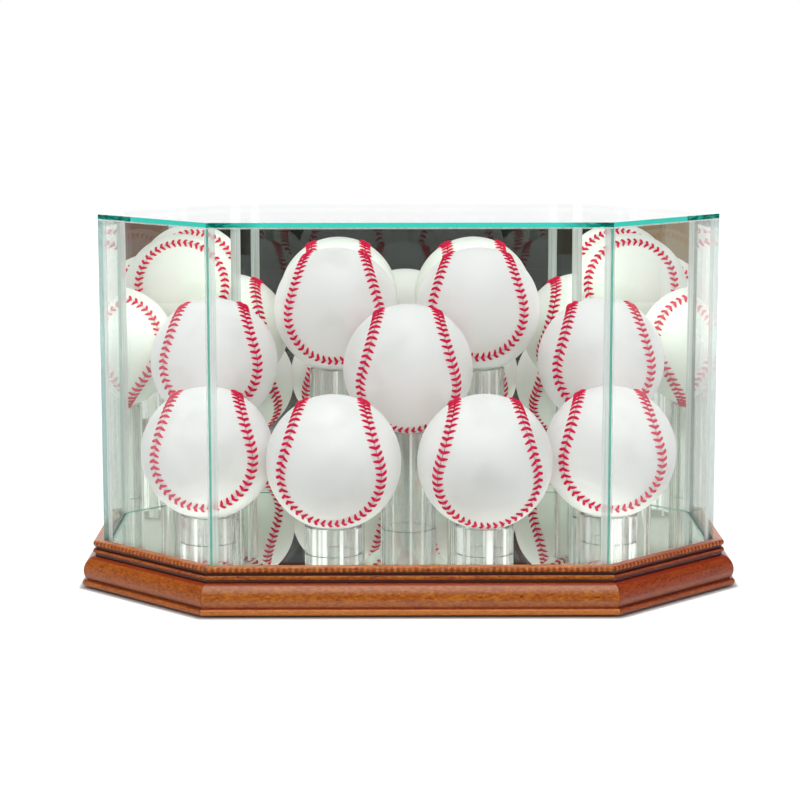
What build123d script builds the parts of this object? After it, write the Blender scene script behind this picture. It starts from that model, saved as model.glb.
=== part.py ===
from build123d import *
import math
import os

# Display case for nine baseballs, in millimetres, +Z up, front towards -Y.
# The origin is on the table, under the middle of the case.

# The baseballs and their seam
ball_radius = 36.9
seam_bead_radius = 1.2
seam_proud = 0.35
seam_circle_angle = 47.2

# Clear stands: tubes that hold one ball each
stand_diameter = 31.75
stand_wall = 2.5
front_stand_height = 15.0
middle_stand_height = 57.0
back_stand_height = 83.5
ball_rest_gap = 0.3

# Places of the balls, from the room between them
front_pair_gap = 8.6
back_pair_gap = 10.8
front_to_middle_gap = 3.9
middle_to_back_gap = 4.9
front_outer_gap = 3.2
front_outer_angle = 23.0
back_outer_gap = 4.8
back_outer_angle = 26.4

# Room between the balls and the glass
depth_gap = 1.45
end_gap = 17.4
diagonal_gap = 6.6
head_room = 25.3

# Glass cover
pane_thickness = 2.5
top_thickness = 2.5
top_seam_height = 0.8
corner_bead_leg = 3.4

# Wooden base frame
pad_height = 1.0
pad_diameter = 12.0
rail_height = 25.0
ledge_width = 8.0
lip_gap = 0.3
seat_depth = 3.2
seat_margin = 0.5

# Moulding, each outset measured from the face of the glass
lip_round = 1.6
top_bead_outset = 5.7
top_bead_height = 3.0
upper_groove_outset = 4.2
upper_groove_height = 1.4
small_bead_outset = 5.9
small_bead_height = 2.4
lower_groove_outset = 4.7
lower_groove_height = 1.5
ovolo_outset = 10.9
ovolo_height = 12.2
fillet_outset = 9.4
fillet_height = 0.9
bottom_bead_outset = 11.9
bottom_bead_round = 1.4
ovolo_top_step = 0.3
ovolo_bottom_step = 0.8

# Floor of the case
floor_drop = 2.2
floor_mirror_thickness = 3.0
board_thickness = 3.0
board_clearance = 0.2
bead_clearance = 0.4

# Steel V-nails that hold the mitres together
nail_leg = 6.0
nail_thickness = 0.8
nail_height = 9.0
nail_opening = 50.0
nail_inset = 6.5

# Tilt of each ball about X and turn about Z, in degrees
ball_tilts = {
    "front_1": -17.5, "front_2": -9.5, "front_3": -4.5, "front_4": -14.5,
    "middle_1": -18.0, "middle_2": -1.5, "middle_3": -14.0,
    "back_1": -14.5, "back_2": -19.5,
}
ball_turns = {
    "front_1": -0.5, "front_2": -2.0, "front_3": 1.4, "front_4": -1.8,
    "middle_1": -0.6, "middle_2": 0.0, "middle_3": -0.7,
    "back_1": -1.4, "back_2": -2.3,
}

# Plan positions of the balls
ball_diameter = 2 * ball_radius
front_x = ball_radius + front_pair_gap / 2
back_x = ball_radius + back_pair_gap / 2
front_y = math.sqrt((ball_diameter + front_to_middle_gap) ** 2 - front_x ** 2)
back_y = math.sqrt((ball_diameter + middle_to_back_gap) ** 2 - back_x ** 2)
front_step = ball_diameter + front_outer_gap
front_outer_x = front_x + front_step * math.cos(math.radians(front_outer_angle))
front_outer_y = front_y - front_step * math.sin(math.radians(front_outer_angle))
back_step = ball_diameter + back_outer_gap
middle_outer_x = back_x + back_step * math.cos(math.radians(back_outer_angle))
middle_outer_y = back_y - back_step * math.sin(math.radians(back_outer_angle))

ball_places = {
    "front_1": (-front_outer_x, -front_outer_y),
    "front_2": (-front_x, -front_y),
    "front_3": (front_x, -front_y),
    "front_4": (front_outer_x, -front_outer_y),
    "middle_1": (-middle_outer_x, middle_outer_y),
    "middle_2": (0.0, 0.0),
    "middle_3": (middle_outer_x, middle_outer_y),
    "back_1": (-back_x, back_y),
    "back_2": (back_x, back_y),
}

# Octagon of the glass: half width, half depth and the length cut off each corner
half_width = max(front_outer_x, middle_outer_x) + ball_radius + end_gap + pane_thickness
half_depth = max(front_y, back_y) + ball_radius + depth_gap + pane_thickness
diagonal_reach = front_outer_x + front_outer_y + math.sqrt(2) * (ball_radius + diagonal_gap + pane_thickness)
corner_cut = half_width + half_depth - diagonal_reach

# Levels above the table
rail_top = pad_height + rail_height
seat_z = rail_top - seat_depth
floor_z = rail_top - floor_drop
board_top = floor_z - floor_mirror_thickness
ledge_z = board_top - board_thickness
stand_radius = stand_diameter / 2
stand_bore = stand_radius - stand_wall
ball_reach = ball_radius + seam_proud + ball_rest_gap
ball_seat_height = math.sqrt(ball_reach ** 2 - stand_bore ** 2)
stand_heights = {
    "front": front_stand_height,
    "middle": middle_stand_height,
    "back": back_stand_height,
}
highest_ball_top = floor_z + max(stand_heights.values()) + ball_seat_height + ball_radius
top_underside = highest_ball_top + head_room
pane_top = top_underside - top_seam_height

# Outsets of the frame's inner steps, inwards from the face of the glass
seat_inset = pane_thickness + seat_margin
board_inset = seat_inset + board_clearance
inner_inset = seat_inset + ledge_width

side_names = ["front", "front_left", "left", "rear_left", "back", "rear_right", "right", "front_right"]
mirror_sides = ["rear_left", "back", "rear_right"]
mitre_margin = 10.0
cut_margin = 1.0


def corners(outset):
    """Eight plan corners, clockwise from the front right, of the octagon moved out by outset."""
    w = half_width + outset
    d = half_depth + outset
    cut = corner_cut + outset * (2 - math.sqrt(2))
    a = w - cut
    e = d - cut
    return [(a, -d), (-a, -d), (-w, -e), (-w, e), (-a, d), (a, d), (w, e), (w, -e)]


def prism(points, low, high):
    """Upright prism on a closed plan outline."""
    outline = make_face(Polyline(*points, close=True))
    return Pos(0, 0, low) * extrude(outline, high - low)


def side_strip(side, inner, outer):
    """Plan outline of one side of the octagon between two outsets, with mitred ends."""
    near = corners(outer)
    far = corners(inner)
    after = (side + 1) % len(side_names)
    return [near[side], near[after], far[after], far[side]]


def rail_section(plane):
    """Cross-section of the moulding: X outwards from the glass face, Y up."""
    z_bead = rail_top - top_bead_height
    z_groove = z_bead - upper_groove_height
    z_small = z_groove - small_bead_height
    z_lower = z_small - lower_groove_height
    z_ovolo = z_lower - ovolo_height
    z_fillet = z_ovolo - fillet_height
    ovolo_start = lower_groove_outset + ovolo_top_step
    ovolo_end = ovolo_outset - ovolo_bottom_step
    z_bulge = z_lower - ovolo_height / 2
    with BuildSketch(plane) as section:
        with BuildLine():
            Polyline(
                (lip_gap, rail_top),
                (lip_gap, seat_z),
                (-seat_inset, seat_z),
                (-seat_inset, ledge_z),
                (-inner_inset, ledge_z),
                (-inner_inset, pad_height),
                (bottom_bead_outset - bottom_bead_round, pad_height),
            )
            ThreePointArc(
                (bottom_bead_outset - bottom_bead_round, pad_height),
                (bottom_bead_outset, (pad_height + z_fillet) / 2),
                (bottom_bead_outset - bottom_bead_round, z_fillet),
            )
            Polyline(
                (bottom_bead_outset - bottom_bead_round, z_fillet),
                (fillet_outset, z_fillet),
                (fillet_outset, z_ovolo),
                (ovolo_end, z_ovolo),
            )
            ThreePointArc((ovolo_end, z_ovolo), (ovolo_outset, z_bulge), (ovolo_start, z_lower))
            Polyline(
                (ovolo_start, z_lower),
                (lower_groove_outset, z_lower),
                (lower_groove_outset, z_small),
            )
            ThreePointArc(
                (lower_groove_outset, z_small),
                (small_bead_outset, (z_small + z_groove) / 2),
                (upper_groove_outset, z_groove),
            )
            Polyline(
                (upper_groove_outset, z_groove),
                (upper_groove_outset, z_bead),
                (top_bead_outset - lip_round / 2, z_bead),
            )
            ThreePointArc(
                (top_bead_outset - lip_round / 2, z_bead),
                (top_bead_outset, z_bead + top_bead_height / 2),
                (top_bead_outset - lip_round, rail_top),
            )
            Line((top_bead_outset - lip_round, rail_top), (lip_gap, rail_top))
        make_face()
    return section.sketch


def v_nails():
    """One V-shaped nail across each mitre, pressed in from below."""
    nails = []
    spread = math.radians(nail_opening)
    web = nail_thickness / math.sin(spread)
    for (x0, y0), (x, y) in zip(corners(0), corners(-nail_inset)):
        inwards = math.atan2(y - y0, x - x0)
        outer = [
            (x + nail_leg * math.cos(inwards + spread), y + nail_leg * math.sin(inwards + spread)),
            (x, y),
            (x + nail_leg * math.cos(inwards - spread), y + nail_leg * math.sin(inwards - spread)),
        ]
        inner = [(px + web * math.cos(inwards), py + web * math.sin(inwards)) for px, py in reversed(outer)]
        nails.append(prism(outer + inner, pad_height, pad_height + nail_height))
    return nails


def rail(side, nails):
    """One mitred length of moulding, with the slots of the nails at its ends."""
    points = corners(0)
    start = Vector(*points[side])
    end = Vector(*points[(side + 1) % len(points)])
    along = (end - start).normalized()
    outwards = Vector(-along.Y, along.X)
    run = (end - start).length
    margin = bottom_bead_outset + mitre_margin
    plane = Plane(origin=start - along * margin, x_dir=outwards, z_dir=along)
    bar = extrude(rail_section(plane), run + 2 * margin)
    strip = side_strip(side, -inner_inset - mitre_margin, bottom_bead_outset + mitre_margin)
    piece = bar & prism(strip, pad_height - cut_margin, rail_top + cut_margin)
    for nail in nails:
        piece = piece - nail
    return piece


def pane(side):
    """One upright pane with mitred edges, standing in the groove of the frame."""
    return prism(side_strip(side, -pane_thickness, 0), seat_z, pane_top)


def corner_beads():
    """Clear adhesive fillets inside the upright joints of the cover."""
    beads = []
    inner = corners(-pane_thickness)
    count = len(inner)
    for index, (x, y) in enumerate(inner):
        outline = [(x, y)]
        for neighbour in (inner[index - 1], inner[(index + 1) % count]):
            reach = math.dist((x, y), neighbour)
            share = corner_bead_leg / reach
            outline.append((x + share * (neighbour[0] - x), y + share * (neighbour[1] - y)))
        beads.append(prism(outline, floor_z + bead_clearance, top_underside))
    return beads


def top_seam():
    """Clear adhesive layer between the panes and the top."""
    strips = []
    for side in range(len(side_names)):
        strips.append(prism(side_strip(side, -pane_thickness, 0), pane_top, top_underside))
    return strips


def stand(height):
    """Clear tube, standing on the floor mirror at the origin of its own plan."""
    outer = Pos(0, 0, floor_z + height / 2) * Cylinder(stand_radius, height)
    bore = Pos(0, 0, floor_z + height / 2) * Cylinder(stand_bore, height + 2 * cut_margin)
    return outer - bore


def seam_cord():
    """Raised seam of a ball: four circular arcs that meet without a corner."""
    ring = math.radians(seam_circle_angle)
    rise = math.asin(math.sqrt(-math.cos(2 * ring)))
    half_sweep = math.pi / 2 + math.atan(math.sin(rise))
    depth = ball_radius + seam_proud - seam_bead_radius
    cord = None
    for quarter in range(4):
        heading = math.radians(90 * quarter - 90)
        way = -1 if quarter % 2 == 0 else 1
        towards = Vector(math.cos(heading), math.sin(heading))
        centre = towards * math.cos(rise) + Vector(0, 0, way * math.sin(rise))
        bend = Vector(0, 0, way * math.cos(rise)) - towards * math.sin(rise)
        across = centre.cross(bend)
        start = bend * math.cos(half_sweep) - across * math.sin(half_sweep)
        place = centre * (depth * math.cos(ring)) + start * (depth * math.sin(ring))
        disc = Plane(origin=place, x_dir=centre, z_dir=centre.cross(start)) * Circle(seam_bead_radius)
        arc = revolve(disc, Axis((0, 0, 0), centre), math.degrees(2 * half_sweep))
        cord = arc if cord is None else cord + arc
    return cord


def save(name, shapes):
    """Write one node; several solids go in as a group."""
    parts = shapes if isinstance(shapes, list) else [shapes]
    solids = []
    for shape in parts:
        solids.extend(shape.solids())
    body = solids[0] if len(solids) == 1 else Compound(children=solids)
    export_step(body, f"parts/{name}.step")


os.makedirs("parts", exist_ok=True)

nails = v_nails()
for side, side_name in enumerate(side_names):
    save(f"rail_{side_name}", rail(side, nails))
    kind = "mirror" if side_name in mirror_sides else "pane"
    save(f"{kind}_{side_name}", pane(side))
save("corner_v_nails", nails)

save("bottom_board", prism(corners(-board_inset), ledge_z, board_top))
save("floor_mirror", prism(corners(-board_inset), board_top, floor_z))

pads = []
for x, y in corners(0):
    pads.append(Pos(x, y, pad_height / 2) * Cylinder(pad_diameter / 2, pad_height))
save("foot_pads", pads)

save("top_pane", prism(corners(0), top_underside, top_underside + top_thickness))
save("corner_adhesive", corner_beads())
save("top_adhesive", top_seam())

cord = seam_cord()
ball = Sphere(ball_radius) - cord
for name, (x, y) in ball_places.items():
    height = stand_heights[name.split("_")[0]]
    save(f"stand_{name}", Pos(x, y, 0) * stand(height))
    place = Pos(x, y, floor_z + height + ball_seat_height) * Rot(ball_tilts[name], 0, ball_turns[name])
    save(f"ball_{name}", place * ball)
    save(f"seam_{name}", place * cord)

print("glass octagon", round(2 * half_width, 2), round(2 * half_depth, 2), "corner cut", round(corner_cut, 2))
print("floor", round(floor_z, 2), "cover top", round(top_underside + top_thickness, 2))
for name, (x, y) in ball_places.items():
    height = stand_heights[name.split("_")[0]]
    print(name, round(x, 2), round(y, 2), round(floor_z + height + ball_seat_height, 2))
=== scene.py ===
import math

import bmesh
import bpy
from mathutils import Matrix, Vector


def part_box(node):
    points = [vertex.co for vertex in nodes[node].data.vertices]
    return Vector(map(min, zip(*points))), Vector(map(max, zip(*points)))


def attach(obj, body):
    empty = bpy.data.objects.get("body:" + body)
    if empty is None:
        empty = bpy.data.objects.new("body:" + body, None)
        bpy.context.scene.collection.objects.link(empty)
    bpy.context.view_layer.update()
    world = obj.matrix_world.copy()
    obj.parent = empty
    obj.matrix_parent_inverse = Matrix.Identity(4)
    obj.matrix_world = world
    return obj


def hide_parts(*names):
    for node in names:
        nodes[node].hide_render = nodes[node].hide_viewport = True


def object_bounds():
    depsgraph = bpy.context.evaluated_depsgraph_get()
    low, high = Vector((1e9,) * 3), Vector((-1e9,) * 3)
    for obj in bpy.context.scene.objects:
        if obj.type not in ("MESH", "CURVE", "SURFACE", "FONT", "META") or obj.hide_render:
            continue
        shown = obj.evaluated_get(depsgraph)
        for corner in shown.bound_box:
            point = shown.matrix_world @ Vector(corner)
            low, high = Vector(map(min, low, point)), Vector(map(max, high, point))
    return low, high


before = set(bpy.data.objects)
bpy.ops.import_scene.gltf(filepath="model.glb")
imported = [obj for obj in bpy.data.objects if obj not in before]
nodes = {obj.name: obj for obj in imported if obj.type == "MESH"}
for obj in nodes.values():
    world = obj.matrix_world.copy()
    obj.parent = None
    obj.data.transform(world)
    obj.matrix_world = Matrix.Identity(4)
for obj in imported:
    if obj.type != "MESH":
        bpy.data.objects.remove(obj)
lo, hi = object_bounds()

# Sizes in metres. The balls and their seam repeat the sizes of the solids.
MM = 0.001
BALL_RADIUS = 36.9 * MM
SEAM_CIRCLE_ANGLE = math.radians(47.2)
STITCH_COUNT = 108

# Tilt about X and turn about Z of each ball, in degrees, and the balls whose stitches slant the other way
BALL_TILTS = {
    "front_1": -17.5, "front_2": -9.5, "front_3": -4.5, "front_4": -14.5,
    "middle_1": -18.0, "middle_2": -1.5, "middle_3": -14.0,
    "back_1": -14.5, "back_2": -19.5,
}
BALL_TURNS = {
    "front_1": -0.5, "front_2": -2.0, "front_3": 1.4, "front_4": -1.8,
    "middle_1": -0.6, "middle_2": 0.0, "middle_3": -0.7,
    "back_1": -1.4, "back_2": -2.3,
}
REVERSED_BALLS = ("front_3", "back_1")

# Camera, from a fit to the outlines in the photograph
CAMERA_PLACE = Vector((-0.01214, -1.30653, 0.29797))
CAMERA_YAW = math.radians(0.33)
CAMERA_PITCH = math.radians(8.71)
CAMERA_ROLL = math.radians(-0.05)
CAMERA_LENS = 104.23
CAMERA_SENSOR = 36.0

scene = bpy.context.scene


def srgb(r, g, b):
    """Linear colour with alpha from the 0 to 255 values of a screen colour."""
    linear = []
    for value in (r, g, b):
        share = value / 255
        linear.append(share / 12.92 if share <= 0.04045 else ((share + 0.055) / 1.055) ** 2.4)
    return (*linear, 1.0)


# Node helpers
def new_material(name, **values):
    """A material with one Principled shader, whose sockets take the values given."""
    material = bpy.data.materials.new(name)
    material.use_nodes = True
    shader = material.node_tree.nodes["Principled BSDF"]
    for key, value in values.items():
        shader.inputs[key.replace("_", " ").title().replace("Ior", "IOR")].default_value = value
    return material, material.node_tree, shader


def add(tree, kind, inputs=None, **settings):
    """A new node of a kind, with settings, and inputs that are plain values or other sockets."""
    node = tree.nodes.new(kind)
    for key, value in settings.items():
        setattr(node, key, value)
    for key, value in (inputs or {}).items():
        if isinstance(value, bpy.types.NodeSocket):
            tree.links.new(value, node.inputs[key])
        else:
            node.inputs[key].default_value = value
    return node


def math_node(tree, operation, *values, clamp=False):
    """Result socket of a Math node."""
    inputs = {index: value for index, value in enumerate(values)}
    return add(tree, "ShaderNodeMath", inputs, operation=operation, use_clamp=clamp).outputs[0]


def ramp(tree, factor, stops):
    """Colour socket of a ramp with (position, colour) stops."""
    node = add(tree, "ShaderNodeValToRGB", {0: factor})
    while len(node.color_ramp.elements) < len(stops):
        node.color_ramp.elements.new(1.0)
    for element, (position, colour) in zip(node.color_ramp.elements, stops):
        element.position = position
        element.color = colour
    return node.outputs["Color"]


def mix_colours(tree, factor, first, second, blend="MIX"):
    """Colour socket of a Mix node."""
    node = add(tree, "ShaderNodeMix", data_type="RGBA", blend_type=blend)
    for index, value in ((0, factor), (6, first), (7, second)):
        if isinstance(value, bpy.types.NodeSocket):
            tree.links.new(value, node.inputs[index])
        else:
            node.inputs[index].default_value = value
    return node.outputs[2]


def geometry(tree, output):
    """Socket of a Geometry node."""
    return add(tree, "ShaderNodeNewGeometry").outputs[output]


def object_place(tree):
    """Socket with the place of the surface in the object's own axes."""
    return add(tree, "ShaderNodeTexCoord").outputs["Object"]


def axes(tree, vector):
    """Sockets X, Y and Z of a vector."""
    return add(tree, "ShaderNodeSeparateXYZ", {0: vector}).outputs


def map_range(tree, value, start, end, low, high):
    """Socket that goes from low to high while the value goes from start to end."""
    return add(tree, "ShaderNodeMapRange", {0: value, 1: start, 2: end, 3: low, 4: high}).outputs[0]


def stretch(tree, vector, scale):
    """Socket with a vector scaled along each axis."""
    return add(tree, "ShaderNodeMapping", {0: vector, "Scale": scale}).outputs[0]


def noise(tree, vector, scale, detail, distortion=0.0):
    """Socket of a Noise texture."""
    inputs = {"Vector": vector, "Scale": scale, "Detail": detail, "Distortion": distortion}
    return add(tree, "ShaderNodeTexNoise", inputs).outputs[0]


def bump(tree, shader, height, strength, distance):
    """Roughen a shader's surface by a height."""
    node = add(tree, "ShaderNodeBump", {"Strength": strength, "Distance": distance, "Height": height})
    tree.links.new(node.outputs[0], shader.inputs["Normal"])


def normal_along(tree, direction):
    """Socket with the cosine between the surface's own normal and a direction."""
    inputs = {0: geometry(tree, "True Normal"), 1: direction}
    return add(tree, "ShaderNodeVectorMath", inputs, operation="DOT_PRODUCT").outputs["Value"]


def band(tree, value, low, high):
    """1 where value lies between low and high, else 0."""
    above = math_node(tree, "GREATER_THAN", value, low)
    below = math_node(tree, "LESS_THAN", value, high)
    return math_node(tree, "MULTIPLY", above, below)


def lay_over_transparent(tree, shader, factor, tint):
    """Mix the shader over a Transparent one by factor, and send it to the output."""
    clear = add(tree, "ShaderNodeBsdfTransparent", {"Color": tint})
    mix = add(tree, "ShaderNodeMixShader", {0: factor, 1: clear.outputs[0], 2: shader.outputs[0]})
    tree.links.new(mix.outputs[0], tree.nodes["Material Output"].inputs["Surface"])


# Sides of the octagon, with the direction that each looks outwards in degrees
SIDES = {
    "front": -90, "front_left": -135, "left": 180, "rear_left": 135,
    "back": 90, "rear_right": 45, "right": 0, "front_right": -45,
}
MIRROR_SIDES = ("rear_left", "back", "rear_right")

# Dark, middle and light tone of the wood. A rail without its own takes those of front_left.
WOOD_TONES = {
    "front": (srgb(142, 64, 8), srgb(172, 90, 8), srgb(192, 114, 30)),
    "front_left": (srgb(134, 58, 6), srgb(164, 80, 8), srgb(182, 100, 24)),
    "front_right": (srgb(120, 40, 8), srgb(146, 54, 10), srgb(162, 72, 24)),
}


def outwards(side):
    """Direction that a side of the octagon looks."""
    angle = math.radians(SIDES[side])
    return (math.cos(angle), math.sin(angle), 0.0)


def rail_line(side, outset, height):
    """Start and end of a line along one rail, at an outset from the glass."""
    low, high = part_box("top_pane")
    half_w = (high.x - low.x) / 2
    half_d = (high.y - low.y) / 2
    front_corner = max(v.co.x for v in nodes["top_pane"].data.vertices if v.co.y < -half_d + MM)
    cut = half_w - front_corner + outset * (2 - math.sqrt(2))
    half_w += outset
    half_d += outset
    flat_w = half_w - cut
    flat_d = half_d - cut
    corners = [
        (flat_w, -half_d), (-flat_w, -half_d), (-half_w, -flat_d), (-half_w, flat_d),
        (-flat_w, half_d), (flat_w, half_d), (half_w, flat_d), (half_w, -flat_d),
    ]
    index = list(SIDES).index(side)
    return Vector((*corners[index], height)), Vector((*corners[(index + 1) % 8], height))


def octagon(node, half_w, half_d):
    """Half width, half depth and reach of the cut corners of an octagon, from the piece at its left end."""
    end = max(abs(v.co.y) for v in nodes[node].data.vertices if v.co.x < -half_w + 0.1 * MM)
    return half_w, half_d, half_w + end


def distance_outside(tree, half_w, half_d, reach):
    """Socket with the distance outside an octagon seen from above, below zero inside it."""
    position = geometry(tree, "Position")
    size = axes(tree, add(tree, "ShaderNodeVectorMath", {0: position}, operation="ABSOLUTE").outputs[0])
    past_end = math_node(tree, "SUBTRACT", size["X"], half_w)
    past_front = math_node(tree, "SUBTRACT", size["Y"], half_d)
    both = math_node(tree, "ADD", size["X"], size["Y"])
    past_corner = math_node(tree, "MULTIPLY", math_node(tree, "SUBTRACT", both, reach), math.sqrt(0.5))
    return math_node(tree, "MAXIMUM", math_node(tree, "MAXIMUM", past_end, past_front), past_corner)


# Materials
# Turquoise of the top's cut edge, painted: a bright one for the light that the glass carries to it, a dark
# one for painted shade near the corners
EDGE_PAINTED_LIGHT = srgb(78, 228, 210)
EDGE_PAINTED_SHADE = srgb(0, 104, 88)
PANE_TINT = (0.986, 0.994, 0.99, 1.0)
GLASS_IOR = 1.5
WIDE_FACE = 0.9  # cosine to a pane's direction, above which a surface is its wide face
END_CORNER = 0.14  # distance from the middle, beyond which a corner is at an end of the case
INSIDE_FADE = -0.85  # change of an edge's cover when it is seen from inside the glass
UPRIGHT_COVER = 0.8
END_COVER_CHANGE = -0.2
FLOOR_RIM = 1.2 * MM

# Where painted shade darkens the edge of the top, as distances from the middle to both sides
FRONT_DARK_START = 0.078
FRONT_DARK_FULL = 0.099
FRONT_DARK_END = 0.1058
END_DARK = (0.1495, 0.1697)


def pane_fresnel(tree):
    """Reflection of a thin pane's face, the same from either side, because its rays aren't bent."""
    inside = math_node(tree, "MULTIPLY", geometry(tree, "Backfacing"), 1 / GLASS_IOR - GLASS_IOR)
    ior = math_node(tree, "ADD", inside, GLASS_IOR)
    return add(tree, "ShaderNodeFresnel", {"IOR": ior}).outputs[0]


def pane_glass(name, facing, edge_cover, edge_colour):
    """Clear glass whose wide faces look along facing, with coloured cut edges."""
    material, tree, shader = new_material(name, Specular_IOR_Level=0.1)
    along = math_node(tree, "ABSOLUTE", normal_along(tree, facing))
    edge = math_node(tree, "LESS_THAN", along, WIDE_FACE)
    face = math_node(tree, "SUBTRACT", 1.0, edge)
    tree.links.new(mix_colours(tree, edge, (1, 1, 1, 1), edge_colour(tree)), shader.inputs["Base Color"])
    tree.links.new(face, shader.inputs["Metallic"])
    tree.links.new(math_node(tree, "MULTIPLY", edge, 0.15), shader.inputs["Roughness"])
    face_part = math_node(tree, "MULTIPLY", pane_fresnel(tree), face)
    factor = math_node(tree, "ADD", face_part, math_node(tree, "MULTIPLY", edge, edge_cover(tree)))
    lay_over_transparent(tree, shader, factor, PANE_TINT)
    return material


def at_end_corner(tree):
    """1 near the four corners at the ends of the case, 0 near the front and back corners."""
    across = math_node(tree, "ABSOLUTE", axes(tree, geometry(tree, "Position"))["X"])
    return math_node(tree, "GREATER_THAN", across, END_CORNER)


def upright_edge_colour(tree):
    """Green of the mitred edges, duller at the ends of the case."""
    return mix_colours(tree, at_end_corner(tree), srgb(92, 196, 178), srgb(110, 178, 172))


def upright_edge_cover(tree):
    """Cover of a mitred edge: fainter at the ends of the case, and there fainter still from inside."""
    at_end = at_end_corner(tree)
    inside = math_node(tree, "MULTIPLY", geometry(tree, "Backfacing"), at_end)
    fade = math_node(tree, "MULTIPLY_ADD", inside, INSIDE_FADE, 1.0)
    cover = math_node(tree, "MULTIPLY_ADD", at_end, END_COVER_CHANGE, UPRIGHT_COVER)
    return math_node(tree, "MULTIPLY", cover, fade)


def top_edge_cover(tree):
    """Full cover of the top's edge, but faint from inside the glass."""
    return math_node(tree, "MULTIPLY_ADD", geometry(tree, "Backfacing"), INSIDE_FADE, 1.0)


def top_edge_colour(tree):
    """Painted light: bright turquoise, as of light that leaves the cut edge, with painted shade in darker
    stretches near the corners of the top.
    """
    position = geometry(tree, "Position")
    across = math_node(tree, "ABSOLUTE", axes(tree, position)["X"])
    near_front = map_range(tree, across, FRONT_DARK_START, FRONT_DARK_FULL, 0.0, 1.0)
    near_front = math_node(tree, "MULTIPLY", near_front, math_node(tree, "LESS_THAN", across, FRONT_DARK_END))
    dark = math_node(tree, "MAXIMUM", near_front, band(tree, across, *END_DARK))
    streaks = add(tree, "ShaderNodeTexNoise", {"Scale": 60.0, "Detail": 3.0}).outputs[0]
    bright = ramp(tree, streaks, [(0.35, srgb(58, 218, 198)), (0.6, EDGE_PAINTED_LIGHT)])
    flecks = noise(tree, stretch(tree, position, (260.0, 260.0, 900.0)), 1.0, 2.0)
    deep = ramp(tree, flecks, [(0.45, EDGE_PAINTED_SHADE), (0.68, srgb(30, 190, 168))])
    return mix_colours(tree, dark, bright, deep)


def mirror_glass(name, inwards, edge_colour, outline=None):
    """Mirror pane: silvered face looking inwards, grey paint behind it, and green cut edges.

    With an outline of the pane, a rim of the silvered face shows the green of the cut edge below it.
    """
    material, tree, shader = new_material(name, Specular_IOR_Level=0.5)
    along = normal_along(tree, inwards)
    silver = math_node(tree, "GREATER_THAN", along, WIDE_FACE)
    if outline:
        within = math_node(tree, "LESS_THAN", distance_outside(tree, *outline), -FLOOR_RIM)
        silver = math_node(tree, "MULTIPLY", silver, within)
    paint = math_node(tree, "LESS_THAN", along, -WIDE_FACE)
    speckle = add(tree, "ShaderNodeTexNoise", {"Scale": 400.0, "Detail": 4.0}).outputs[0]
    paint_colour = ramp(tree, speckle, [(0.3, srgb(92, 97, 98)), (0.7, srgb(118, 123, 124))])
    dull = mix_colours(tree, paint, edge_colour, paint_colour)
    colour = mix_colours(tree, silver, dull, (0.89, 0.93, 0.88, 1.0))
    tree.links.new(colour, shader.inputs["Base Color"])
    tree.links.new(silver, shader.inputs["Metallic"])
    tree.links.new(math_node(tree, "MULTIPLY", paint, 0.5), shader.inputs["Roughness"])
    return material


def clear_adhesive():
    """Cured clear adhesive, slightly milky."""
    material, tree, shader = new_material("clear_adhesive", Base_Color=srgb(238, 243, 241), Roughness=0.2)
    streaks = noise(tree, stretch(tree, object_place(tree), (900.0, 900.0, 12.0)), 1.0, 2.0)
    cover = math_node(tree, "MULTIPLY_ADD", streaks, 0.6, 0.15)
    lay_over_transparent(tree, shader, cover, (0.985, 0.992, 0.988, 1.0))
    return material


def clear_acrylic():
    """Clear acrylic with milky streaks that paint the reflections of bright lamps up the tubes; it lets the
    lamps' light through.
    """
    material, tree, shader = new_material(
        "clear_acrylic", Base_Color=(0.98, 0.992, 0.98, 1.0), Roughness=0.08, IOR=1.49)
    # Milky streaks up the tubes: painted reflections of bright lamps
    streaks = noise(tree, stretch(tree, object_place(tree), (150.0, 150.0, 1.0)), 1.0, 2.0)
    clarity = map_range(tree, streaks, 0.555, 0.62, 0.95, 0.15)
    tree.links.new(clarity, shader.inputs["Transmission Weight"])
    path = add(tree, "ShaderNodeLightPath")
    clear = add(tree, "ShaderNodeBsdfTransparent", {"Color": (0.98, 0.985, 0.98, 1.0)})
    mix = add(tree, "ShaderNodeMixShader", {
        0: path.outputs["Is Shadow Ray"], 1: shader.outputs[0], 2: clear.outputs[0]})
    tree.links.new(mix.outputs[0], tree.nodes["Material Output"].inputs["Surface"])
    return material


# Bands up the moulding, of stain and of painted sheen, light and shade: heights from and to, softness of the
# ends, colour and cover
# Dark stain: alone in the mitred joints, and with painted shade in the grooves
DARK_STAIN_AND_SHADE = srgb(58, 8, 6)
STAIN_AND_PAINTED_LIGHT_BANDS = (
    # painted reflection of the pale table on the lower part of the ovolo
    (4.8 * MM, 9.2 * MM, 1.2 * MM, srgb(160, 112, 92), 0.4),
    (16.2 * MM, 17.3 * MM, 0.1 * MM, srgb(142, 36, 6), 0.85),
    # dark stain with painted shade in the two grooves
    (17.3 * MM, 19.0 * MM, 0.1 * MM, DARK_STAIN_AND_SHADE, 0.94),
    (21.2 * MM, 23.0 * MM, 0.1 * MM, DARK_STAIN_AND_SHADE, 0.94),
    # dark stain with painted shade on the top bead round the pearls
    (23.0 * MM, 25.6 * MM, 0.1 * MM, DARK_STAIN_AND_SHADE, 0.4),
)
FRONT_BANDS = (
    # painted light that lightens the bottom bead
    (1.0 * MM, 4.2 * MM, 0.3 * MM, srgb(218, 136, 62), 0.42),
    # reddish stain with painted shade in the crease above the bottom bead
    (4.2 * MM, 5.3 * MM, 0.2 * MM, srgb(142, 36, 14), 0.6),
    # painted highlight of the overhead lamp on the upper part of the front ovolo
    (12.2 * MM, 17.2 * MM, 1.2 * MM, srgb(160, 116, 98), 0.35),
)
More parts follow.
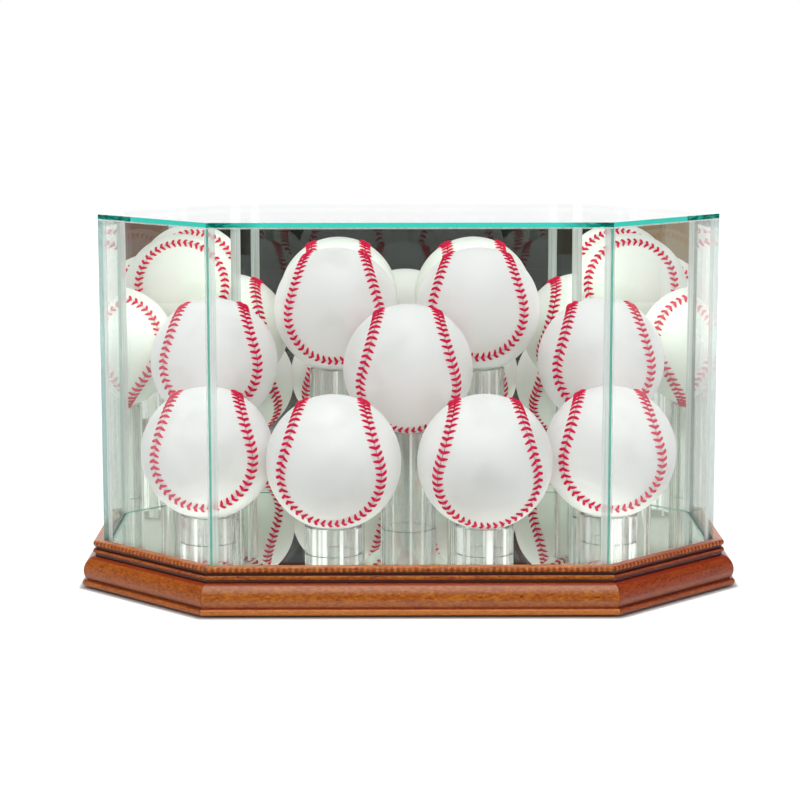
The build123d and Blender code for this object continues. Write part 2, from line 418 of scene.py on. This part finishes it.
OTHER_BANDS = (
    # painted light, fainter, on the bottom bead
    (1.0 * MM, 4.0 * MM, 0.3 * MM, srgb(218, 136, 62), 0.12),
    # painted shade in the cove between the ovolo and the bottom bead
    (3.9 * MM, 5.8 * MM, 0.4 * MM, srgb(88, 30, 14), 0.65),
)
JOINT_HALF_WIDTH = 0.3 * MM
JOINT_COVER = 0.35


def joint_stain(tree, turned, side):
    """1 in a fine line along the mitres at both ends of a rail, from the place turned to its heading."""
    start, end = rail_line(side, 0.0, 0.0)
    middle = (start + end) / 2
    facing = Vector(outwards(side))
    split = axes(tree, turned)
    outset = math_node(tree, "MULTIPLY_ADD", split["Y"], -1.0, -middle.dot(facing))
    half_run = (end - start).length / 2 - JOINT_HALF_WIDTH
    reach = math_node(tree, "MULTIPLY_ADD", outset, math.tan(math.radians(22.5)), half_run)
    along = math_node(tree, "SUBTRACT", split["X"], middle.dot(Vector((0, 0, 1)).cross(facing)))
    return math_node(tree, "GREATER_THAN", math_node(tree, "ABSOLUTE", along), reach)


def moulding_stain_and_painted_light(tree, colour, place, side, joints):
    """The bands up the moulding, of stain and of painted sheen, light and shade, laid over a colour, and dark
    stain in the mitred joints.
    """
    height = axes(tree, place)["Z"]
    bands = (FRONT_BANDS if side == "front" else OTHER_BANDS) + STAIN_AND_PAINTED_LIGHT_BANDS
    # The bands' colours are stains, painted sheens, painted light and painted shade, laid over the colour in
    # turn
    for low, high, soft, stain, cover in bands:
        rise = map_range(tree, height, low, low + soft, 0.0, cover)
        fall = map_range(tree, height, high - soft, high, 1.0, 0.0)
        colour = mix_colours(tree, math_node(tree, "MULTIPLY", rise, fall), colour, stain)
    return mix_colours(tree, math_node(tree, "MULTIPLY", joints, JOINT_COVER), colour, DARK_STAIN_AND_SHADE)


def stained_wood(name, side, seed, tones, moulded=True):
    """Stained, lacquered wood with its grain along a side, and on a moulding dark stain with painted shade in
    the grooves, and bands of painted sheen, light and shade.
    """
    dark, middle, light = tones
    heading = math.radians(SIDES[side] + 90)
    material, tree, shader = new_material(name, Roughness=0.28, Specular_IOR_Level=0.4)
    place = object_place(tree)
    inputs = {"Vector": place, "Angle": -heading}
    turned = add(tree, "ShaderNodeVectorRotate", inputs, rotation_type="Z_AXIS").outputs[0]
    shifted = add(tree, "ShaderNodeMapping", {0: turned, "Location": (seed, 3 * seed, seed)}).outputs[0]
    grain = noise(tree, stretch(tree, shifted, (420.0, 950.0, 950.0)), 1.0, 5.0, 0.5)
    patches = noise(tree, stretch(tree, shifted, (130.0, 300.0, 300.0)), 1.0, 3.0, 1.0)
    tone = math_node(tree, "MULTIPLY_ADD", grain, 0.7, math_node(tree, "MULTIPLY", patches, 0.3))
    colour = ramp(tree, tone, [(0.38, dark), (0.5, middle), (0.62, light)])
    specks = noise(tree, stretch(tree, shifted, (300.0, 700.0, 700.0)), 1.0, 1.0)
    pores = math_node(tree, "SUBTRACT", specks, 0.68)
    pores = math_node(tree, "MULTIPLY", pores, 14.0, clamp=True)
    colour = mix_colours(tree, math_node(tree, "MULTIPLY", pores, 0.8), colour, srgb(58, 20, 10))
    if moulded:
        colour = moulding_stain_and_painted_light(tree, colour, place, side, joint_stain(tree, turned, side))
    tree.links.new(colour, shader.inputs["Base Color"])
    bump(tree, shader, grain, 0.1, 0.3 * MM)
    return material


def ball_leather():
    """White leather with faint smudges and a fine grain."""
    material, tree, shader = new_material("ball_leather", Roughness=0.42, Specular_IOR_Level=0.4)
    place = object_place(tree)
    smudges = noise(tree, place, 38.0, 3.0)
    colour = ramp(tree, smudges, [(0.3, srgb(229, 229, 226)), (0.5, srgb(239, 239, 238))])
    tree.links.new(colour, shader.inputs["Base Color"])
    grain = add(tree, "ShaderNodeTexVoronoi", {"Vector": place, "Scale": 1300.0}).outputs["Distance"]
    bump(tree, shader, grain, 0.05, 0.2 * MM)
    return material


def red_thread():
    """Waxed cotton thread with a fine twist."""
    material, tree, shader = new_material("red_thread", Roughness=0.7, Specular_IOR_Level=0.2)
    twist = noise(tree, object_place(tree), 1500.0, 2.0)
    colour = ramp(tree, twist, [(0.3, srgb(202, 8, 56)), (0.7, srgb(232, 30, 86))])
    tree.links.new(colour, shader.inputs["Base Color"])
    bump(tree, shader, twist, 0.2, 0.2 * MM)
    return material


def noisy(name, dark, light, scale, roughness, metallic=0.0):
    """A plain finish with a little variation in tone."""
    material, tree, shader = new_material(name, Roughness=roughness, Metallic=metallic)
    spread = noise(tree, object_place(tree), scale, 4.0)
    tree.links.new(ramp(tree, spread, [(0.35, dark), (0.65, light)]), shader.inputs["Base Color"])
    return material


def dress(node, material):
    """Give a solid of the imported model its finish."""
    nodes[node].data.materials.clear()
    nodes[node].data.materials.append(material)


for index, side in enumerate(SIDES):
    tones = WOOD_TONES.get(side, WOOD_TONES["front_left"])
    dress(f"rail_{side}", stained_wood(f"stained_wood_{side}", side, 0.37 * index, tones))
    if side in MIRROR_SIDES:
        inwards = tuple(-part for part in outwards(side))
        dress(f"mirror_{side}", mirror_glass(f"mirror_{side}", inwards, srgb(176, 218, 204)))
    else:
        glass = pane_glass(f"glass_{side}", outwards(side), upright_edge_cover, upright_edge_colour)
        dress(f"pane_{side}", glass)

dress("top_pane", pane_glass("glass_top", (0.0, 0.0, 1.0), top_edge_cover, top_edge_colour))
floor_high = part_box("floor_mirror")[1]
floor_outline = octagon("floor_mirror", floor_high.x, floor_high.y)
dress("floor_mirror", mirror_glass("mirror_floor", (0.0, 0.0, 1.0), srgb(110, 172, 152), floor_outline))
adhesive = clear_adhesive()
dress("corner_adhesive", adhesive)
dress("top_adhesive", adhesive)
dress("bottom_board", noisy("hardboard", srgb(96, 66, 42), srgb(122, 88, 58), 700.0, 0.8))
dress("foot_pads", noisy("black_felt", srgb(18, 18, 18), srgb(34, 34, 34), 1500.0, 0.95))
dress("corner_v_nails", noisy("zinc_steel", srgb(150, 150, 152), srgb(190, 190, 192), 600.0, 0.35, 1.0))
acrylic = clear_acrylic()
leather = ball_leather()
thread = red_thread()
# Painted shade in the crevice of the seam and in the stitch holes
seam_painted_shade = noisy("seam_painted_shade", srgb(70, 70, 64), srgb(98, 98, 90), 900.0, 0.8)
for place in BALL_TILTS:
    dress(f"stand_{place}", acrylic)
    dress(f"ball_{place}", leather)


# Seams of the balls
def seam_path(steps_per_arc):
    """Points, ways along and ways across of the seam's closed line, on a ball of radius 1."""
    ring = SEAM_CIRCLE_ANGLE
    rise = math.asin(math.sqrt(-math.cos(2 * ring)))
    half_sweep = math.pi / 2 + math.atan(math.sin(rise))
    path = []
    for quarter in range(4):
        heading = math.radians(90 * quarter - 90)
        sense = 1 if quarter % 2 == 0 else -1
        towards = Vector((math.cos(heading), math.sin(heading), 0))
        centre = towards * math.cos(rise) - Vector((0, 0, sense * math.sin(rise)))
        bend = -Vector((0, 0, sense * math.cos(rise))) - towards * math.sin(rise)
        across = centre.cross(bend)
        for step in range(steps_per_arc):
            turn = sense * half_sweep * (2 * step / steps_per_arc - 1)
            radial = bend * math.cos(turn) + across * math.sin(turn)
            point = centre * math.cos(ring) + radial * math.sin(ring)
            along = (across * math.cos(turn) - bend * math.sin(turn)) * sense
            path.append((point.normalized(), along.normalized(), point.cross(along).normalized()))
    return path


WELT_HALF_WIDTH = 6.6 * MM
WELT_RISE = 0.45 * MM
WELT_SPREAD = 3.0 * MM
WELT_SINK = 0.16 * MM
VALLEY_DEPTH = 0.9 * MM
VALLEY_SPREAD = 0.42 * MM
HOLE_OUTSET = 4.0 * MM
HOLE_LENGTH = 0.6 * MM
DENT_DEPTH = 0.35 * MM
DENT_SPREAD = 0.6 * MM
DENT_ROUND_SHARE = 0.69  # share of the ball's round over which the spacing of the dents is reckoned
STITCH_LEAN = 1.5 * MM
THREAD_RADIUS = 0.88 * MM
THREAD_FLATNESS = 0.75
THREAD_BOW = 0.3 * MM
HOLE_SINK = 0.5 * MM
MIDDLE_SINK = 0.25 * MM
STITCHES_PER_ARC = STITCH_COUNT // 4


def welt_height(offset):
    """Height of the leather above the round ball, at a distance from the seam's line."""
    rise = WELT_RISE * math.exp(-((offset / WELT_SPREAD) ** 2))
    valley = VALLEY_DEPTH * math.exp(-((offset / VALLEY_SPREAD) ** 2))
    sink = WELT_SINK * (abs(offset) / WELT_HALF_WIDTH) ** 3
    return rise - valley - sink


def on_ball(point, side, offset, height):
    """Place at an offset across the seam and a height above the ball, for a point of the seam's line."""
    angle = offset / BALL_RADIUS
    direction = point * math.cos(angle) + side * math.sin(angle)
    return direction * (BALL_RADIUS + height)


def new_mesh(name, points, faces, materials, smooth=True):
    """A mesh of points and faces with its materials."""
    mesh = bpy.data.meshes.new(name)
    mesh.from_pydata(points, [], faces)
    mesh.update()
    mesh.polygons.foreach_set("use_smooth", [smooth] * len(mesh.polygons))
    for material in materials:
        mesh.materials.append(material)
    return mesh


GAP_EDGE = 0.22 * MM
WELT_OFFSETS = [
    0.0, GAP_EDGE, 0.45 * MM, 0.8 * MM, 1.3 * MM, 1.9 * MM, 2.5 * MM, 3.1 * MM, 3.6 * MM,
    HOLE_OUTSET, HOLE_OUTSET + HOLE_LENGTH, 5.2 * MM, 5.9 * MM, WELT_HALF_WIDTH,
]
WELT_STEPS = 7


def welt_mesh():
    """The two edges of leather that meet in the seam, with painted shade in the gap between them and in a
    hole by each stitch leg.
    """
    path = seam_path(STITCHES_PER_ARC * WELT_STEPS)
    offsets = sorted({way * offset for offset in WELT_OFFSETS for way in (-1, 1)})
    pitch = 2 * math.pi * BALL_RADIUS * DENT_ROUND_SHARE / STITCH_COUNT
    points = []
    for step, (point, along, side) in enumerate(path):
        from_stitch = ((step / WELT_STEPS) % 1.0 - 0.5) * pitch
        for offset in offsets:
            reach = math.hypot(from_stitch, abs(offset) - HOLE_OUTSET - HOLE_LENGTH / 2)
            dent = DENT_DEPTH * math.exp(-((reach / DENT_SPREAD) ** 2))
            points.append(on_ball(point, side, offset, welt_height(offset) - dent))
    width = len(offsets)
    faces = []
    dark = []
    for step in range(len(path)):
        here = step * width
        after = (step + 1) % len(path) * width
        for column in range(width - 1):
            faces.append((here + column, after + column, after + column + 1, here + column + 1))
            middle = abs(offsets[column] + offsets[column + 1]) / 2
            in_gap = middle < GAP_EDGE
            by_stitch = step % WELT_STEPS == WELT_STEPS // 2
            in_hole = by_stitch and HOLE_OUTSET < middle < HOLE_OUTSET + HOLE_LENGTH
            # faces in the seam's gap and in the stitch holes take the painted shade
            dark.append(1 if in_gap or in_hole else 0)
    mesh = new_mesh("seam_welt", points, faces, [leather, seam_painted_shade])
    mesh.polygons.foreach_set("material_index", dark)
    return mesh


LEG_RINGS = 8
LEG_CORNERS = 8


def stitch_leg(point, along, side, way, flow):
    """Rings of points of one slanted leg, from its hole to the middle of the seam."""
    lean = (side * -way * HOLE_OUTSET + along * flow * STITCH_LEAN).normalized()
    rings = []
    for ring in range(LEG_RINGS):
        share = ring / (LEG_RINGS - 1)
        offset = way * HOLE_OUTSET * (1 - share)
        bow = math.sin(math.pi * (0.1 + 0.7 * share))
        height = WELT_RISE * 0.7 + THREAD_BOW * bow - HOLE_SINK * (1 - share) ** 6 - MIDDLE_SINK * share ** 8
        centre = on_ball(point, side, offset, height) + along * (flow * STITCH_LEAN * share)
        radius = THREAD_RADIUS * (0.4 + 0.6 * min(1.0, 2.2 * share))
        up = centre.normalized()
        wide = up.cross(lean).normalized()
        for corner in range(LEG_CORNERS):
            angle = 2 * math.pi * corner / LEG_CORNERS
            rise = THREAD_FLATNESS * radius * math.sin(angle)
            rings.append(centre + wide * (radius * math.cos(angle)) + up * rise)
    return rings


def stitch_mesh(flow):
    """All the stitches of one ball: slanted legs on both sides of the seam, which meet in chevrons."""
    path = seam_path(STITCHES_PER_ARC * 2)
    points = []
    faces = []
    for point, along, side in path[1::2]:
        for way in (-1, 1):
            first = len(points)
            points.extend(stitch_leg(point, along, side, way, flow))
            for ring in range(LEG_RINGS - 1):
                near = first + ring * LEG_CORNERS
                far = near + LEG_CORNERS
                for corner in range(LEG_CORNERS):
                    after = (corner + 1) % LEG_CORNERS
                    faces.append((near + corner, near + after, far + after, far + corner))
            faces.append(tuple(first + corner for corner in range(LEG_CORNERS)))
            faces.append(tuple(len(points) - 1 - corner for corner in range(LEG_CORNERS)))
    mesh = new_mesh("seam_stitches", points, faces, [thread])
    shape = bmesh.new()
    shape.from_mesh(mesh)
    bmesh.ops.recalc_face_normals(shape, faces=shape.faces)
    shape.to_mesh(mesh)
    shape.free()
    return mesh


def add_object(name, mesh, matrix, body):
    """A piece of the visual model that moves with a body."""
    obj = bpy.data.objects.new(name, mesh)
    scene.collection.objects.link(obj)
    obj.matrix_world = matrix
    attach(obj, body)
    return obj


def ball_matrix(place):
    """Place and turn of one ball, over the middle of its stand."""
    ball_low, ball_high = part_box(f"ball_{place}")
    stand_low, stand_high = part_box(f"stand_{place}")
    centre = (stand_low + stand_high) / 2
    centre.z = (ball_low.z + ball_high.z) / 2
    tilt = Matrix.Rotation(math.radians(BALL_TILTS[place]), 4, "X")
    turn = Matrix.Rotation(math.radians(BALL_TURNS[place]), 4, "Z")
    return Matrix.Translation(centre) @ tilt @ turn


welt = welt_mesh()
stitches = {flow: stitch_mesh(flow) for flow in (-1, 1)}
for place in BALL_TILTS:
    flow = 1 if place in REVERSED_BALLS else -1
    matrix = ball_matrix(place)
    body = f"ball_{place}"
    add_object(f"leather_seam_{place}", welt, matrix, body)
    legs = add_object(f"stitches_{place}", stitches[flow], matrix, body)
    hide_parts(f"seam_{place}")


# Pearl beading along the top of the base
PEARL_PITCH = 3.17 * MM
PEARL_RADIUS = 1.48 * MM
PEARL_OUTSET = 4.5 * MM
PEARL_HEIGHT = 24.4 * MM
PEARL_TONES = (srgb(158, 72, 16), srgb(190, 98, 28), srgb(208, 126, 50))


def pearl_mesh(side):
    """A row of small pearls along one rail, half sunk in its top bead."""
    start, end = rail_line(side, PEARL_OUTSET, PEARL_HEIGHT)
    run = end - start
    count = round(run.length / PEARL_PITCH)
    shape = bmesh.new()
    for number in range(count):
        spot = start + run * ((number + 0.5) / count)
        made = bmesh.ops.create_uvsphere(shape, u_segments=14, v_segments=10, radius=PEARL_RADIUS)
        for vertex in made["verts"]:
            vertex.co += spot
    mesh = bpy.data.meshes.new("pearls")
    shape.to_mesh(mesh)
    shape.free()
    mesh.polygons.foreach_set("use_smooth", [True] * len(mesh.polygons))
    mesh.materials.append(stained_wood(f"pearl_wood_{side}", side, 0.0, PEARL_TONES, moulded=False))
    return mesh


for side in SIDES:
    add_object(f"pearls_{side}", pearl_mesh(side), Matrix.Identity(4), "base")


# Stage: floor, dark room in front and at the sides, lamps and white surroundings
FLOOR_DROP = 0.2 * MM
# Close to the base the floor gets no glow, which paints a dark shadow line along it
GLOW_RIM = (1.0 * MM, 3.0 * MM)  # distances from the base over which the floor's glow sets in
GLOW_FAR = (0.2, 0.9)  # distances over which it grows, where less of the lamps' light falls
NEAR_GLOW = 0.5
FAR_GLOW = 0.2
SIDE_REACH = -0.15
MIRRORED_TABLE = [
    (0.0, (0.85, 0.85, 0.84, 1)), (0.1, (0.7, 0.7, 0.7, 1)), (0.17, (0.12, 0.12, 0.12, 1)),
    (0.3, (0.045, 0.045, 0.045, 1)), (0.88, (0.025, 0.025, 0.025, 1)),
]


def stage_material(name, build):
    """A material of the stage with the shader that build makes."""
    material = bpy.data.materials.new(name)
    material.use_nodes = True
    tree = material.node_tree
    tree.nodes.remove(tree.nodes["Principled BSDF"])
    tree.links.new(build(tree), tree.nodes["Material Output"].inputs["Surface"])
    return material


def floor_shader(tree):
    """White to the camera, with the object's shadow, and a painted shadow line along the base where the glow
    is left out. In mirrors, a pale table that falls off to dark.
    """
    path = add(tree, "ShaderNodeLightPath")
    away = distance_outside(tree, *octagon("rail_left", hi.x, hi.y))
    near = map_range(tree, away, *GLOW_RIM, 0.0, NEAR_GLOW)
    strength = math_node(tree, "ADD", map_range(tree, away, *GLOW_FAR, 0.0, FAR_GLOW), near)
    glow = add(tree, "ShaderNodeEmission", {"Color": (1, 1, 1, 1), "Strength": strength})
    paper = add(tree, "ShaderNodeBsdfDiffuse", {"Color": (0.6, 0.6, 0.6, 1)})
    seen = add(tree, "ShaderNodeAddShader", {0: glow.outputs[0], 1: paper.outputs[0]})
    mirrored = ramp(tree, mirrored_distance(tree), MIRRORED_TABLE)
    bent = math_node(tree, "MAXIMUM", path.outputs["Is Glossy Ray"], path.outputs["Is Transmission Ray"])
    direct = math_node(tree, "MULTIPLY", bent, seen_directly(tree, path))
    tone = mix_colours(tree, direct, (0.66, 0.66, 0.66, 1), mirrored)
    table = add(tree, "ShaderNodeBsdfDiffuse", {"Color": tone})
    inputs = {0: path.outputs["Is Camera Ray"], 1: table.outputs[0], 2: seen.outputs[0]}
    return add(tree, "ShaderNodeMixShader", inputs).outputs[0]


def mirrored_distance(tree):
    """Socket with the distance in front of the case, made less at the sides, where the table reaches out."""
    split = axes(tree, geometry(tree, "Position"))
    ahead = math_node(tree, "SUBTRACT", lo.y, split["Y"])
    beside = math_node(tree, "SUBTRACT", math_node(tree, "ABSOLUTE", split["X"]), hi.x)
    return math_node(tree, "MULTIPLY_ADD", math_node(tree, "MAXIMUM", beside, 0.0), SIDE_REACH, ahead)


def seen_directly(tree, path):
    """1 where the view reaches the stage through glass and mirrors alone, 0 for scattered light."""
    return math_node(tree, "LESS_THAN", path.outputs["Diffuse Depth"], 0.5)


def card_shader(colour):
    """Builder of a sheet with a colour for mirrors, which is clear to scattered light."""
    def build(tree):
        path = add(tree, "ShaderNodeLightPath")
        card = add(tree, "ShaderNodeEmission", {"Color": colour, "Strength": 1.0})
        clear = add(tree, "ShaderNodeBsdfTransparent")
        inputs = {0: seen_directly(tree, path), 1: clear.outputs[0], 2: card.outputs[0]}
        return add(tree, "ShaderNodeMixShader", inputs).outputs[0]
    return build


def flat(name, corners, material):
    """A flat four-cornered sheet of the stage."""
    mesh = new_mesh(name, corners, [(0, 1, 2, 3)], [material], smooth=False)
    obj = bpy.data.objects.new(name, mesh)
    scene.collection.objects.link(obj)
    return obj


FLOOR_REACH = 8.0
flat("floor", [
    (-FLOOR_REACH, -FLOOR_REACH, -FLOOR_DROP), (FLOOR_REACH, -FLOOR_REACH, -FLOOR_DROP),
    (FLOOR_REACH, FLOOR_REACH, -FLOOR_DROP), (-FLOOR_REACH, FLOOR_REACH, -FLOOR_DROP),
], stage_material("floor_paper", floor_shader))

front_tone = stage_material("room_front", card_shader(srgb(36, 38, 36)))
left_tone = stage_material("room_left", card_shader(srgb(150, 130, 104)))
right_tone = stage_material("room_right", card_shader(srgb(110, 86, 80)))
ROOM = 1.6
CARD_TOP = 1.0
CARD_SPLIT = 0.4
LOWER_BACK = 0.1
UPPER_BACK = 2.4
UPPER_TOP = 2.6


def side_card(name, x, back, bottom, top, material):
    """An upright sheet of the room beside the case, from the front corner of the room to its back end."""
    return flat(name, [(x, -ROOM, bottom), (x, back, bottom), (x, back, top), (x, -ROOM, top)], material)


room_cards = [
    flat("room_front", [
        (-ROOM, -ROOM, 0), (ROOM, -ROOM, 0), (ROOM, -ROOM, CARD_TOP), (-ROOM, -ROOM, CARD_TOP),
    ], front_tone),
    side_card("room_left", -ROOM, LOWER_BACK, 0, CARD_SPLIT, left_tone),
    side_card("room_right", ROOM, LOWER_BACK, 0, CARD_SPLIT, right_tone),
    side_card("room_left_upper", -ROOM, UPPER_BACK, CARD_SPLIT, UPPER_TOP, left_tone),
    side_card("room_right_upper", ROOM, UPPER_BACK, CARD_SPLIT, UPPER_TOP, right_tone),
]
for card in room_cards:
    card.visible_camera = False
    card.visible_diffuse = False
    card.visible_transmission = card.name == "room_front"
    card.visible_shadow = False


LAMP_AIM = Vector((0.0, 0.0, 0.1))


def softbox(name, place, size, power):
    """A rectangular lamp that looks at the middle of the case. The camera doesn't see it, but mirrors may."""
    light = bpy.data.lights.new(name, "AREA")
    light.shape = "RECTANGLE"
    light.size, light.size_y = size
    light.energy = power
    obj = bpy.data.objects.new(name, light)
    scene.collection.objects.link(obj)
    obj.location = place
    obj.rotation_euler = (LAMP_AIM - Vector(place)).to_track_quat("-Z", "Y").to_euler()
    obj.visible_camera = False
    return obj


softbox("overhead_light", (0.0, -0.25, 1.7), (1.1, 2.2), 14.2)
front_light = softbox("front_light", (0.0, -1.5, 0.35), (2.4, 0.7), 1.2)
front_light.visible_glossy = False
softbox("left_strip", (-0.72, -1.25, 0.3), (0.12, 0.5), 0.5)
softbox("right_strip", (1.25, -0.75, 0.3), (0.16, 0.5), 0.5)

# Strength of the surroundings: the plain level, and what is added for the camera and through glass,
# in mirrors, and in mirrors that light reaches after it has scattered
WORLD_LEVEL = 0.7
SEEN_EXTRA = 0.3
MIRRORED_EXTRA = 0.45
SCATTERED_EXTRA = 3.6


def surroundings():
    """White to the camera and through glass, brighter in mirrors, and brightest there for scattered light."""
    world = bpy.data.worlds.new("white_surroundings")
    world.use_nodes = True
    tree = world.node_tree
    path = add(tree, "ShaderNodeLightPath")
    seen = math_node(tree, "MAXIMUM", path.outputs["Is Camera Ray"], path.outputs["Is Transmission Ray"])
    strength = math_node(tree, "MULTIPLY_ADD", seen, SEEN_EXTRA, WORLD_LEVEL)
    scattered = math_node(tree, "SUBTRACT", 1.0, seen_directly(tree, path))
    mirrored = math_node(tree, "MULTIPLY_ADD", scattered, SCATTERED_EXTRA, MIRRORED_EXTRA)
    strength = math_node(tree, "MULTIPLY_ADD", path.outputs["Is Glossy Ray"], mirrored, strength)
    tree.links.new(strength, tree.nodes["Background"].inputs["Strength"])
    tree.nodes["Background"].inputs["Color"].default_value = (1, 1, 1, 1)
    return world


scene.world = surroundings()

# Camera
camera_data = bpy.data.cameras.new("camera")
camera_data.lens = CAMERA_LENS
camera_data.sensor_width = CAMERA_SENSOR
camera_data.clip_end = 50.0
camera = bpy.data.objects.new("camera", camera_data)
scene.collection.objects.link(camera)
forward = Vector((
    math.sin(CAMERA_YAW) * math.cos(CAMERA_PITCH),
    math.cos(CAMERA_YAW) * math.cos(CAMERA_PITCH),
    -math.sin(CAMERA_PITCH),
))
right = forward.cross(Vector((0, 0, 1))).normalized()
up = right.cross(forward)
tilted_right = right * math.cos(CAMERA_ROLL) + up * math.sin(CAMERA_ROLL)
tilted_up = tilted_right.cross(forward)
turn = Matrix((tilted_right, tilted_up, -forward)).transposed().to_4x4()
camera.matrix_world = Matrix.Translation(CAMERA_PLACE) @ turn
scene.camera = camera

scene.view_settings.view_transform = "Standard"
scene.cycles.transparent_max_bounces = 40
scene.cycles.max_bounces = 24
scene.cycles.glossy_bounces = 16
scene.cycles.transmission_bounces = 16
scene.cycles.diffuse_bounces = 8
